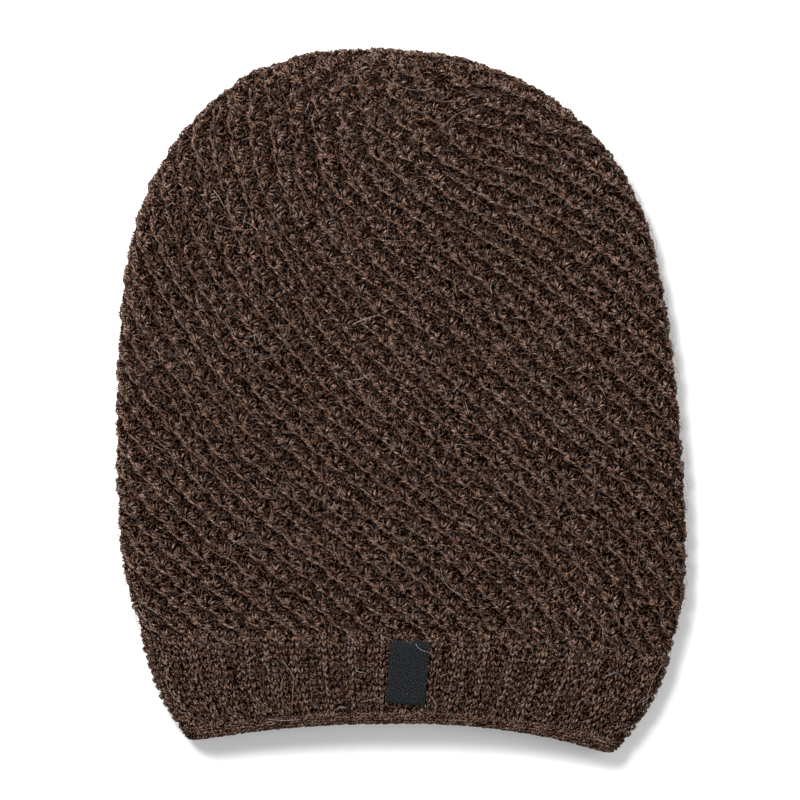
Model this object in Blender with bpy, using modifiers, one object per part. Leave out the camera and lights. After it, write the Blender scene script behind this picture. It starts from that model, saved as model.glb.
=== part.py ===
"""A slouchy knitted beanie lying on its back, in metres: slanting-rib body, fine-knit band and small label.

+Y runs from the open rim to the crown, +X to the right of the face, +Z up from the floor. The origin is on
the floor, under the middle of the hat.
"""

import math

import bmesh
import bpy
from mathutils import Vector

# Outline of the body, lying flat
BODY_WIDTH = 0.260
BODY_LENGTH = 0.269
BODY_WALL = 0.0040

# Fine-knit band between the body and the rim
RIM_WIDTH = 0.193
BAND_HEIGHT = 0.0368
BAND_WALL = 0.0030
RIM_DROP_LEFT = 0.0086
RIM_DROP_RIGHT = 0.0145
BAND_BULGE = 0.0035
SEAM_GAP = 0.0006

# Height of the lying hat: the round of its folds, and what its face stands proud of them
FOLD_RADIUS = 0.0100
FACE_RISE = 0.0060
SAG_POWER = 2.2

# Slanting ribs, which follow the turns of the knitted rows
RIB_COUNT = 43
RIB_HEIGHT = 0.0013
RIB_SLANT = math.radians(45)

# Soft upright ripples round the band
RIPPLE_COUNT = 18
RIPPLE_HEIGHT = 0.0005

# Label sewn to the face of the band
LABEL_WIDTH = 0.0178
LABEL_LENGTH = 0.0290
LABEL_THICKNESS = 0.0008
LABEL_OFFSET = 0.0031
LABEL_TILT = math.radians(5)
LABEL_CLEARANCE = 0.0003
LABEL_INSET = 0.0006

# Mesh steps
BODY_STEPS = 38
LINING_STEPS = 14
CROWN_STEPS = 4
CROWN_ZONE = 0.08
CROWN_TAPER = 0.040
BAND_STEPS = 5
BAND_COLUMNS = 60
LABEL_COLUMNS = 4
LABEL_ROWS = 6
SHARP_ANGLE = math.radians(50)

# Edges of the body, seam to crown: how far each side stands out as shares of half of BODY_WIDTH, how far it
# lies below the crown as shares of BODY_LENGTH, and the round of the fold as a share of FOLD_RADIUS
SECTION_COLUMNS = ("along", "left_out", "left_down", "right_out", "right_down", "round")
SECTIONS = (
    (0.00, 0.902, 1.000, 0.934, 1.037, 0.90),
    (0.10, 0.972, 0.882, 0.990, 0.929, 0.97),
    (0.20, 0.994, 0.755, 0.997, 0.794, 1.00),
    (0.30, 0.997, 0.625, 0.981, 0.659, 1.00),
    (0.40, 0.990, 0.498, 0.955, 0.527, 1.00),
    (0.50, 0.965, 0.372, 0.913, 0.394, 1.00),
    (0.60, 0.899, 0.250, 0.839, 0.265, 1.00),
    (0.70, 0.762, 0.140, 0.689, 0.152, 1.00),
    (0.80, 0.566, 0.054, 0.479, 0.068, 1.00),
    (0.90, 0.318, 0.008, 0.217, 0.017, 1.00),
    (1.00, 0.056, 0.000, -0.056, 0.000, 1.00),
)
RIM_ROUND = 0.80

LENGTH = BODY_LENGTH + BAND_HEIGHT + RIM_DROP_RIGHT
CROWN_Y = LENGTH / 2
SEAM_Y = CROWN_Y - BODY_LENGTH
RIM_Y = SEAM_Y - BAND_HEIGHT


def clear_scene():
    """Removes what a new file holds."""
    for old in list(bpy.data.objects):
        bpy.data.objects.remove(old, do_unlink=True)


def new_collection(name):
    """Makes a collection in the scene."""
    collection = bpy.data.collections.new(name)
    bpy.context.scene.collection.children.link(collection)
    return collection


def new_material(name, colour, roughness):
    """Makes a Principled material; colour is linear red, green and blue."""
    material = bpy.data.materials.new(name)
    material.use_nodes = True
    shader = material.node_tree.nodes["Principled BSDF"]
    shader.inputs["Base Color"].default_value = (*colour, 1)
    shader.inputs["Roughness"].default_value = roughness
    shader.inputs["Metallic"].default_value = 0
    return material


def read_section(along, column):
    """Reads one column of SECTIONS at a share of the body, on a smooth curve through its rows."""
    place = SECTION_COLUMNS.index(column)
    last = len(SECTIONS) - 2
    low = max(i for i in range(last + 1) if SECTIONS[i][0] <= along or i == 0)
    values = [SECTIONS[min(max(i, 0), last + 1)][place] for i in range(low - 1, low + 3)]
    span = SECTIONS[low + 1][0] - SECTIONS[low][0]
    t = (along - SECTIONS[low][0]) / span
    start_slope = (values[2] - values[0]) / 2
    end_slope = (values[3] - values[1]) / 2
    return (
        (2 * t**3 - 3 * t**2 + 1) * values[1]
        + (t**3 - 2 * t**2 + t) * start_slope
        + (3 * t**2 - 2 * t**3) * values[2]
        + (t**3 - t**2) * end_slope
    )


def body_section(along, inset=0.0):
    """The flattened loop of the body at a share of the way from seam to crown, or that of its inner face."""
    arc = FOLD_RADIUS * math.pi / 2
    from_crown = (1 - along) * (BODY_LENGTH - FOLD_RADIUS + arc)
    turn = min(from_crown / FOLD_RADIUS, math.pi / 2)
    middle_down = FOLD_RADIUS - (FOLD_RADIUS - inset) * math.cos(turn) + max(0, from_crown - arc)
    fold = FOLD_RADIUS * read_section(along, "round")
    left = -read_section(along, "left_out") * BODY_WIDTH / 2
    right = read_section(along, "right_out") * BODY_WIDTH / 2
    side_inset = inset * min(1, (right - left) / 2 / CROWN_TAPER)
    edge_drop = inset * along**2
    return {
        "left": left + side_inset,
        "right": right - side_inset,
        "left_y": CROWN_Y - edge_drop - read_section(along, "left_down") * BODY_LENGTH,
        "right_y": CROWN_Y - edge_drop - read_section(along, "right_down") * BODY_LENGTH,
        "middle_y": CROWN_Y - middle_down,
        "centre_z": fold,
        "half_depth": (fold - inset) * math.sin(turn),
        "rise": FACE_RISE * math.sin(turn) * read_section(along, "round"),
    }


def band_section(along, inset=0.0):
    """The flattened loop of the band at a share of the way from rim to seam, or that of its inner face."""
    seam = body_section(0)
    rim = {
        "left": -RIM_WIDTH / 2,
        "right": RIM_WIDTH / 2,
        "left_y": RIM_Y - RIM_DROP_LEFT,
        "right_y": RIM_Y - RIM_DROP_RIGHT,
        "middle_y": RIM_Y,
        "centre_z": FOLD_RADIUS * RIM_ROUND,
        "half_depth": FOLD_RADIUS * RIM_ROUND,
        "rise": FACE_RISE * RIM_ROUND,
    }
    section = {key: rim[key] + (seam[key] - rim[key]) * along for key in rim}
    bulge = BAND_BULGE * math.sin(math.pi * along)
    section["left"] += inset - bulge
    section["right"] += bulge - inset
    section["half_depth"] -= inset
    return section


def girth(section):
    """Length round the outside of a section."""
    flat = section["right"] - section["left"] - 2 * section["half_depth"]
    return 2 * flat + 2 * math.pi * section["half_depth"]


def loop_point(section, share):
    """A point of a section, at a share of its girth from the left fold over the face and back underneath."""
    half_width = (section["right"] - section["left"]) / 2
    depth = section["half_depth"]
    straight = half_width - depth
    quarter = math.pi * depth / 2
    side = 1 if share % 1 < 0.5 else -1
    travel = (share % 0.5) * girth(section)
    if travel < quarter:
        angle = travel / depth if depth else 0
        across = -straight - depth * math.cos(angle)
        height = depth * math.sin(angle)
    elif travel < quarter + 2 * straight:
        across = travel - quarter - straight
        height = depth
    else:
        angle = (travel - quarter - 2 * straight) / depth
        across = straight + depth * math.sin(angle)
        height = depth * math.cos(angle)
    across *= side
    out = across / half_width
    edge_y = section["left_y"] if out < 0 else section["right_y"]
    y = section["middle_y"] + (edge_y - section["middle_y"]) * abs(out) ** SAG_POWER
    face = height / depth if side > 0 else 0
    z = section["centre_z"] + side * height + section["rise"] * face * (1 - out * out)
    return Vector(((section["left"] + section["right"]) / 2 + across, y, z))


def face_share(section, x):
    """The share of the girth at which the face of a section passes over x."""
    middle = (section["left"] + section["right"]) / 2
    return 0.25 + (x - middle) / girth(section)


def lifted(section, share):
    """How far a point is off the floor side, from 0 on the underside to 1 on the folds and the face."""
    if share % 1 < 0.5:
        return 1.0
    height = section["centre_z"] - loop_point(section, share).z
    depth = section["half_depth"]
    return math.sqrt(max(0, 1 - (height / depth) ** 2)) if depth else 1.0


def add_tube(mesh, loops):
    """Joins loops of points into a tube that is open at both ends, and returns its loops of vertices."""
    rings = [[mesh.verts.new(point) for point in loop] for loop in loops]
    for low, high in zip(rings, rings[1:]):
        for i in range(len(low)):
            j = (i + 1) % len(low)
            mesh.faces.new((low[j], low[i], high[i], high[j]))
    return rings


def add_tip(mesh, ring, point):
    """Closes a ring over a point."""
    tip = mesh.verts.new(point)
    for i in range(len(ring)):
        mesh.faces.new((ring[(i + 1) % len(ring)], ring[i], tip))


def add_edge(mesh, outer, inner):
    """Closes the edge of a wall between its outer ring and an inner ring of as many vertices or fewer."""
    each = len(outer) // len(inner)
    for i in range(len(inner)):
        near = [outer[(i * each + k) % len(outer)] for k in range(each + 1)]
        mesh.faces.new((inner[i], inner[(i + 1) % len(inner)], *reversed(near)))


def raise_rings(mesh, rings, heights):
    """Moves each vertex of an open tube along its normal by its height."""
    bmesh.ops.recalc_face_normals(mesh, faces=mesh.faces)
    mesh.normal_update()
    for ring, ring_heights in zip(rings, heights):
        for vertex, height in zip(ring, ring_heights):
            vertex.co += vertex.normal * height


def finish_piece(name, mesh, material, collection):
    """Makes the named object of a mesh, in its material."""
    bmesh.ops.recalc_face_normals(mesh, faces=mesh.faces)
    data = bpy.data.meshes.new(name)
    mesh.to_mesh(data)
    mesh.free()
    data.materials.append(material)
    data.shade_smooth()
    data.set_sharp_from_angle(angle=SHARP_ANGLE)
    piece = bpy.data.objects.new(name, data)
    collection.objects.link(piece)
    return piece


def body_places(steps):
    """Shares from the seam to just short of the crown, close together where the crown turns over."""
    start = SEAM_GAP / 2 / BODY_LENGTH
    places = [start + (1 - CROWN_ZONE - start) * i / steps for i in range(steps + 1)]
    return places + [1 - CROWN_ZONE * (1 - (i + 1) / (CROWN_STEPS + 1)) for i in range(CROWN_STEPS)]


def build_body(collection):
    """The slouchy body: a bag whose slanting ribs wind up to the crown, round a smooth hollow."""
    columns = 2 * RIB_COUNT
    mesh = bmesh.new()
    spin = 0
    loops = []
    heights = []
    places = body_places(BODY_STEPS)
    for previous, place in zip(places[:1] + places, places):
        section = body_section(place)
        spin -= (place - previous) * BODY_LENGTH * math.tan(RIB_SLANT) / girth(section)
        shares = [i / columns + spin for i in range(columns)]
        loops.append([loop_point(section, share) for share in shares])
        rib = RIB_HEIGHT / 2 * min(1, (1 - place) / CROWN_ZONE)
        heights.append([rib * lifted(section, share) * (-1) ** i for i, share in enumerate(shares)])
    outer = add_tube(mesh, loops)
    raise_rings(mesh, outer, heights)
    sections = [body_section(place, BODY_WALL) for place in body_places(LINING_STEPS)]
    inner = add_tube(mesh, [[loop_point(s, i / RIB_COUNT) for i in range(RIB_COUNT)] for s in sections])
    add_edge(mesh, outer[0], inner[0])
    for ring, inset in ((outer[-1], 0), (inner[-1], BODY_WALL)):
        crown = body_section(1, inset)
        add_tip(mesh, ring, (crown["left"], crown["middle_y"], crown["centre_z"]))
    wool = new_material("marled brown wool", (0.048, 0.026, 0.018), 0.9)
    return finish_piece("body", mesh, wool, collection)


def band_ripple(section, share):
    """How far the band's soft ripples stand out at a place."""
    return RIPPLE_HEIGHT / 2 * math.cos(2 * math.pi * RIPPLE_COUNT * share) * lifted(section, share)


def build_band(collection):
    """The fine-knit band: a short tube, open to the head at both ends, with soft upright ripples."""
    last = 1 - SEAM_GAP / 2 / BAND_HEIGHT
    places = [last * step / BAND_STEPS for step in range(BAND_STEPS + 1)]
    shares = [i / BAND_COLUMNS for i in range(BAND_COLUMNS)]
    mesh = bmesh.new()
    sections = [band_section(place) for place in places]
    outer = add_tube(mesh, [[loop_point(section, share) for share in shares] for section in sections])
    raise_rings(mesh, outer, [[band_ripple(section, share) for share in shares] for section in sections])
    sections = [band_section(place, BAND_WALL) for place in places]
    inner = add_tube(mesh, [[loop_point(section, share) for share in shares] for section in sections])
    add_edge(mesh, outer[0], inner[0])
    add_edge(mesh, outer[-1], inner[-1])
    wool = new_material("brown fine-knit wool", (0.046, 0.027, 0.020), 0.9)
    return finish_piece("band", mesh, wool, collection)


def build_label(collection):
    """The label: a small cloth tab that lies on the band, its top edge up against the body."""
    top_y = SEAM_Y - SEAM_GAP - LABEL_INSET
    lean = math.tan(LABEL_TILT)
    level = LABEL_CLEARANCE + RIPPLE_HEIGHT / 2 + LABEL_THICKNESS
    mesh = bmesh.new()
    rows = []
    for i in range(LABEL_ROWS + 1):
        down = LABEL_LENGTH * i / LABEL_ROWS
        along = (top_y - down - RIM_Y) / BAND_HEIGHT
        section = band_section(along)
        row = []
        for j in range(LABEL_COLUMNS + 1):
            x = LABEL_OFFSET - (down - LABEL_LENGTH / 2) * lean + LABEL_WIDTH * (j / LABEL_COLUMNS - 0.5)
            point = loop_point(section, face_share(section, x))
            row.append(mesh.verts.new((x, top_y - down, point.z + level)))
        rows.append(row)
    for upper, lower in zip(rows, rows[1:]):
        for j in range(LABEL_COLUMNS):
            mesh.faces.new((upper[j], lower[j], lower[j + 1], upper[j + 1]))
    cloth = new_material("black woven cloth", (0.019, 0.020, 0.023), 0.75)
    label = finish_piece("label", mesh, cloth, collection)
    solidify = label.modifiers.new("thickness", "SOLIDIFY")
    solidify.thickness = LABEL_THICKNESS
    solidify.offset = -1
    return label


def main():
    """Builds the hat's pieces into one collection."""
    clear_scene()
    collection = new_collection("beanie")
    build_body(collection)
    build_band(collection)
    build_label(collection)


main()
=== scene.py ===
"""The lying beanie: star-stitch body, fine-knit band, woven label, loose fibres and a pale studio."""

import logging
import math
from dataclasses import dataclass
from enum import Enum
from functools import cached_property

import bpy
import numpy as np
from bpy.types import Material, Mesh, Node, NodeSocket, NodeTree, Object
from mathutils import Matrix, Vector
from numpy import ndarray
from numpy.random import Generator


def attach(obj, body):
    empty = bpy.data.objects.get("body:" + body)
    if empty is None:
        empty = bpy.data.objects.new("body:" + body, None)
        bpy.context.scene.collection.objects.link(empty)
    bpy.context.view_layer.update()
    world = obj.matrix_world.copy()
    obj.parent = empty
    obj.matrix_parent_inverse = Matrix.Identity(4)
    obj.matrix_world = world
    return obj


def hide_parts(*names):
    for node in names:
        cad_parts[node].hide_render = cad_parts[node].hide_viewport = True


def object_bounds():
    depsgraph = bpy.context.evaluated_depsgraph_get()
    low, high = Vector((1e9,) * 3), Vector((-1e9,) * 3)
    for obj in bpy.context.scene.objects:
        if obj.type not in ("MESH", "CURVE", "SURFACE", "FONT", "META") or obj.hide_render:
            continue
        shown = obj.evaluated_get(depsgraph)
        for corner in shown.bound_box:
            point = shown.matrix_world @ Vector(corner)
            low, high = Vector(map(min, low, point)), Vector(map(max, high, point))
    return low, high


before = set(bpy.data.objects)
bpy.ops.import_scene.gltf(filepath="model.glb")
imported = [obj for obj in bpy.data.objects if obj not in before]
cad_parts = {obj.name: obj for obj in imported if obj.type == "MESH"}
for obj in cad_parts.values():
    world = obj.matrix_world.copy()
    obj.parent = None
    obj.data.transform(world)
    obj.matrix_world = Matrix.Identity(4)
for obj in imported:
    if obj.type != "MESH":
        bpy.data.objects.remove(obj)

CAD_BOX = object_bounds()
LOG = logging.getLogger("beanie")
ROOT = "root"
MM = 0.001
SEED = 7
TURN = 2 * math.pi
# How much of its height yarn loses where the hat's weight lies on it
PRESSED = 0.42
# How far from the seam the cloth has reached most of its depth
SEAM_EASE = 4 * MM
# The hat's loops close to a point at the crown's end, so yarn stops this far short of it
CROWN_MARGIN = 1 * MM


def linear(hex_colour: str) -> tuple[float, float, float, float]:
    """Turns an sRGB hex colour into linear light.

    Args:
        hex_colour: Six hex digits after a hash sign.

    Returns:
        Linear red, green and blue, and an alpha of 1.
    """
    channels = [int(hex_colour[i : i + 2], 16) / 255 for i in (1, 3, 5)]
    values = [c / 12.92 if c <= 0.04045 else ((c + 0.055) / 1.055) ** 2.4 for c in channels]
    return (values[0], values[1], values[2], 1.0)


def unit(vectors: ndarray, least: float = 1e-9) -> ndarray:
    """Scales vectors to length 1, save those shorter than the least length."""
    return vectors / np.maximum(np.linalg.norm(vectors, axis=-1, keepdims=True), least)


def feed(tree: NodeTree, node: Node, **inputs: object) -> None:
    """Sets or links inputs of a shader node.

    Args:
        tree: The material's node tree.
        node: The node.
        **inputs: A value or an output socket for each input, by its name in lower case with underscores, or
            by its place as i0, i1 and so on where names repeat.
    """
    for key, value in inputs.items():
        if key[0] == "i" and key[1:].isdigit():
            socket = node.inputs[int(key[1:])]
        else:
            socket = next(s for s in node.inputs if s.enabled and s.name.lower().replace(" ", "_") == key)
        if isinstance(value, NodeSocket):
            tree.links.new(value, socket)
        else:
            socket.default_value = value


def add_node(tree: NodeTree, kind: str, settings: dict | None = None, **inputs: object) -> Node:
    """Adds one shader node.

    Args:
        tree: The material's node tree.
        kind: Blender's name for the node type, after the ShaderNode that they all start with.
        settings: Properties of the node, by name.
        **inputs: What its inputs take, as in feed.

    Returns:
        The new node.
    """
    node = tree.nodes.new("ShaderNode" + kind)
    for name, value in (settings or {}).items():
        setattr(node, name, value)
    feed(tree, node, **inputs)
    return node


def add_math(tree: NodeTree, operation: str, *values: object) -> NodeSocket:
    """Adds one sum and returns its result.

    Args:
        tree: The material's node tree.
        operation: Blender's name for the sum.
        *values: A value or an output socket for each input, in order.

    Returns:
        The result.
    """
    inputs = {f"i{i}": value for i, value in enumerate(values)}
    return add_node(tree, "Math", {"operation": operation}, **inputs).outputs[0]


def add_noise(tree: NodeTree, vector: NodeSocket, size: float, **inputs: object) -> Node:
    """Adds noise whose grains have about the given size on its map."""
    return add_node(tree, "TexNoise", vector=vector, scale=1 / size, **inputs)


def add_strokes(
    tree: NodeTree, vector: NodeSocket, stretch: tuple[float, ...], **inputs: object
) -> NodeSocket:
    """Adds noise drawn out into strokes.

    Args:
        tree: The material's node tree.
        vector: The map.
        stretch: Grains to each unit of the map, on each of its axes.
        **inputs: What the noise's other inputs take, as in feed.

    Returns:
        The noise.
    """
    drawn = add_node(tree, "VectorMath", {"operation": "MULTIPLY"}, i0=vector, i1=stretch).outputs[0]
    return add_noise(tree, drawn, 1.0, **inputs).outputs["Fac"]


def add_turn(tree: NodeTree, vector: NodeSocket, angle: object) -> NodeSocket:
    """Turns a map by an angle in its plane."""
    return add_node(tree, "VectorRotate", {"rotation_type": "Z_AXIS"}, vector=vector, angle=angle).outputs[0]


def add_yarn_map(tree: NodeTree) -> NodeSocket:
    """Reads the pieces' own map, which is in millimetres along the yarn and over the cloth."""
    return add_node(tree, "UVMap", {"uv_map": "yarn"}).outputs["UV"]


def add_tone(tree: NodeTree) -> NodeSocket:
    """Reads the tone that each point of a piece carries."""
    return add_node(tree, "Attribute", {"attribute_name": "tone"}).outputs["Fac"]


def add_ramp(tree: NodeTree, factor: NodeSocket, stops: tuple) -> NodeSocket:
    """Adds a colour ramp.

    Args:
        tree: The material's node tree.
        factor: What the ramp reads, from 0 to 1.
        stops: Pairs of a place and an sRGB hex colour, those at the ramp's two ends first.

    Returns:
        The ramp's colour.
    """
    ramp = add_node(tree, "ValToRGB", fac=factor)
    for place, _ in stops[2:]:
        ramp.color_ramp.elements.new(place)
    for element, (place, colour) in zip(ramp.color_ramp.elements, sorted(stops)):
        element.position = place
        element.color = linear(colour)
    return ramp.outputs["Color"]


def start_material(name: str) -> tuple[Material, NodeTree, Node]:
    """Starts a material.

    Args:
        name: The material's name.

    Returns:
        The material, its node tree and its shader.
    """
    material = bpy.data.materials.new(name)
    material.use_nodes = True
    return material, material.node_tree, material.node_tree.nodes["Principled BSDF"]


@dataclass(frozen=True)
class Wool:
    """Plied wool and alpaca yarn, carded from fibres of several browns.

    The eye sees a soft matt brown broken up by dark, rusty and blue-grey fibres, twisted plies that catch the
    light in slanting strokes, and a faint sheen of fuzz at grazing angles.
    """

    name: str
    gain: float = 1.0
    gloss: float = 0.02
    sheen: float = 0.02
    # How strongly single fibres and short flecks of them differ from the yarn round them
    contrast: float = 1.0
    # Matted wool has no plies: its fibres lie in short strokes that turn from patch to patch
    matted: bool = False
    stroke_mm: tuple[float, float] = (0.55, 2.6)
    stroke_edges: tuple[float, float] = (0.46, 0.64)
    patches_mm: tuple[float, ...] = (2.3, 3.1)
    # Colours of the blended fibres, from the shaded ones to the pale ones, each at its share of the tones
    blend: tuple[tuple[float, str], ...] = (
        (0.0, "#080200"),
        (1.0, "#ebc2ac"),
        (0.29, "#250f05"),
        (0.50, "#573324"),
        (0.67, "#81513a"),
        (0.81, "#ba8971"),
    )
    cool: tuple[float, ...] = linear("#a6b4d8")
    cool_edges: tuple[float, float] = (0.58, 0.68)
    cool_most: float = 0.7
    sheen_colour: str = "#a58a78"
    sheen_spread: float = 0.5
    ply_pitch_mm: float = 1.4
    plies: int = 3
    # Fibres to a turn round the yarn, and to a millimetre along it
    fibre_stretch: tuple[float, float, float] = (5.0, 0.8, 1.0)
    fleck: float = 0.45 * MM
    cloud: float = 7 * MM
    dyed: float = 0.9 * MM
    # How far plies, fibres, flecks and clouds move the tone; the plies' share is painted shade in the grooves
    # between plies and painted light on their crests
    ply_shade_share: float = 0.06
    fibre_share: float = 3.9
    fleck_share: float = 4.6
    cloud_share: float = 0.15
    roughness: float = 0.8
    bump_mm: float = 0.35
    fibre_relief: float = 1.4

    def spun(self, tree: NodeTree) -> tuple[NodeSocket, NodeSocket]:
        """Adds the fibres and plies of twisted yarn.

        Args:
            tree: The material's node tree.

        Returns:
            The fibres, from about 0 to 1, and the plies, from -1 to 1.
        """
        split = add_node(tree, "SeparateXYZ", vector=add_yarn_map(tree))
        turn = add_math(tree, "MULTIPLY", split.outputs["Y"], 1 / (self.plies * self.ply_pitch_mm))
        lay = add_math(tree, "SUBTRACT", split.outputs["X"], turn)
        ply = add_math(tree, "SINE", add_math(tree, "MULTIPLY", lay, self.plies * TURN))
        # Fibres lie along the plies, so their noise is stretched along the yarn and sheared with its twist
        place = add_node(tree, "CombineXYZ", x=lay, y=split.outputs["Y"]).outputs[0]
        return add_strokes(tree, place, self.fibre_stretch, detail=3.0, roughness=0.6), ply

    def mat(self, tree: NodeTree) -> NodeSocket:
        """Adds the crossing strokes of matted fibres.

        Args:
            tree: The material's node tree.

        Returns:
            The strokes, from 0 between them to 1 on them.
        """
        uv = add_yarn_map(tree)
        wide, long = self.stroke_mm
        low, high = self.stroke_edges
        layers = []
        for patch in self.patches_mm:
            cells = add_node(tree, "TexVoronoi", vector=uv, scale=1 / patch).outputs["Color"]
            turn = add_math(tree, "MULTIPLY", add_node(tree, "SeparateColor", color=cells).outputs[0], TURN)
            noise = add_strokes(tree, add_turn(tree, uv, turn), (1 / wide, 1 / long, 1.0), detail=1.0)
            layers.append(add_node(tree, "MapRange", value=noise, from_min=low, from_max=high).outputs[0])
        return add_math(tree, "MAXIMUM", *layers)

    def dye(self, tree: NodeTree, position: NodeSocket, colour: NodeSocket) -> NodeSocket:
        """Adds the uneven dye of the fibres.

        Args:
            tree: The material's node tree.
            position: Places on the hat.
            colour: The fibres' colour.

        Returns:
            The colour, stronger, paler or cooler from fibre to fibre.
        """
        dyes = add_noise(tree, position, self.dyed, detail=1.0).outputs["Color"]
        dyes = add_node(tree, "SeparateColor", color=dyes)
        limits = {"from_min": 0.35, "from_max": 0.68, "to_min": 0.55, "to_max": 1.35}
        strong = add_node(tree, "MapRange", value=dyes.outputs[0], **limits).outputs[0]
        low, high = self.cool_edges
        limits = {"from_min": low, "from_max": high, "to_max": self.cool_most}
        cool = add_node(tree, "MapRange", value=dyes.outputs[1], **limits).outputs[0]
        colour = add_node(tree, "HueSaturation", saturation=strong, color=colour).outputs[0]
        settings = {"data_type": "RGBA", "blend_type": "MULTIPLY"}
        return add_node(tree, "Mix", settings, i0=cool, i6=colour, i7=self.cool).outputs[2]

    def material(self) -> Material:
        """Builds the material, for meshes that carry a yarn map and a tone.

        Returns:
            The material.
        """
        material, tree, shader = start_material(self.name)
        mixed = add_tone(tree)
        fibres, ply = (self.mat(tree), 0.0) if self.matted else self.spun(tree)
        position = add_node(tree, "NewGeometry").outputs["Position"]
        flecks = add_noise(tree, position, self.fleck, detail=1.0).outputs["Fac"]
        cloud = add_noise(tree, position, self.cloud, detail=2.0).outputs["Fac"]
        # Painted shade and light: the ply phase darkens the grooves between plies and lightens their crests
        mixed = add_math(tree, "MULTIPLY_ADD", ply, self.ply_shade_share, mixed)
        for noise, share in (
            (fibres, self.fibre_share * self.contrast),
            (flecks, self.fleck_share * self.contrast),
            (cloud, self.cloud_share),
        ):
            lowered = add_math(tree, "SUBTRACT", mixed, share / 2)
            mixed = add_math(tree, "MULTIPLY_ADD", noise, share, lowered)
        colour = self.dye(tree, position, add_ramp(tree, mixed, self.blend))
        colour = add_node(tree, "VectorMath", {"operation": "SCALE"}, i0=colour, scale=self.gain).outputs[0]
        relief = add_math(tree, "MULTIPLY_ADD", fibres, self.fibre_relief, ply)
        bump = add_node(tree, "Bump", strength=1.0, distance=self.bump_mm * MM, height=relief)
        feed(
            tree,
            shader,
            base_color=colour,
            roughness=self.roughness,
            specular_ior_level=self.gloss,
            sheen_weight=self.sheen,
            sheen_roughness=self.sheen_spread,
            sheen_tint=linear(self.sheen_colour),
            normal=bump.outputs["Normal"],
        )
        return material


@dataclass(frozen=True)
class LabelTape:
    """Black polyester tape, woven in a fine twill and folded: close dark cloth with a faint cool shine."""

    name: str = "black twill-woven polyester tape"
    twill_mm: float = 1.0
    twill_turn: float = math.radians(35)
    # A wave texture of scale 1 repeats about every so much of its map
    wave_repeat: float = 0.314
    thread_scale: float = 1.7
    # Threads and twill lines make up the tone: the share of each, and what both start from
    thread_share: float = 4.2
    twill_share: float = 0.25
    tone_from: float = -1.7
    warp: str = "#050607"
    weft: str = "#2b2d30"
    relief: float = 0.10 * MM

    def material(self) -> Material:
        """Builds the material on a map in millimetres.

        Returns:
            The material.
        """
        material, tree, shader = start_material(self.name)
        uv = add_yarn_map(tree)
        scale = self.wave_repeat / self.twill_mm
        turned = add_turn(tree, uv, self.twill_turn)
        wave = add_node(tree, "TexWave", vector=turned, scale=scale, distortion=1.5, detail=1.0)
        twill = wave.outputs["Fac"]
        threads = add_node(tree, "TexNoise", vector=uv, scale=self.thread_scale, detail=2.0).outputs["Fac"]
        threads = add_math(tree, "MULTIPLY_ADD", threads, self.thread_share, self.tone_from)
        blend = add_math(tree, "MULTIPLY_ADD", twill, self.twill_share, threads)
        bump = add_node(tree, "Bump", strength=0.8, distance=self.relief, height=blend)
        feed(
            tree,
            shader,
            base_color=add_ramp(tree, blend, ((0.2, self.warp), (1.0, self.weft))),
            roughness=0.7,
            specular_ior_level=0.05,
            normal=bump.outputs["Normal"],
        )
        return material


@dataclass(frozen=True)
class Fibre:
    """Single alpaca and wool fibres: fine, slightly glossy, from brown to a few pale and grey ones."""

    name: str = "loose alpaca fibre"
    stops: tuple[tuple[float, str], ...] = (
        (0.0, "#3a2a22"),
        (1.0, "#cfc3b6"),
        (0.35, "#6a5344"),
        (0.7, "#8d7464"),
        (0.85, "#a98a5c"),
        (0.92, "#908b8b"),
    )

    def material(self) -> Material:
        """Builds the material, whose colour follows each fibre's tone.

        Returns:
            The material.
        """
        material, tree, shader = start_material(self.name)
        colour = add_ramp(tree, add_tone(tree), self.stops)
        feed(tree, shader, base_color=colour, roughness=0.5, specular_ior_level=0.5)
        return material


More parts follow.
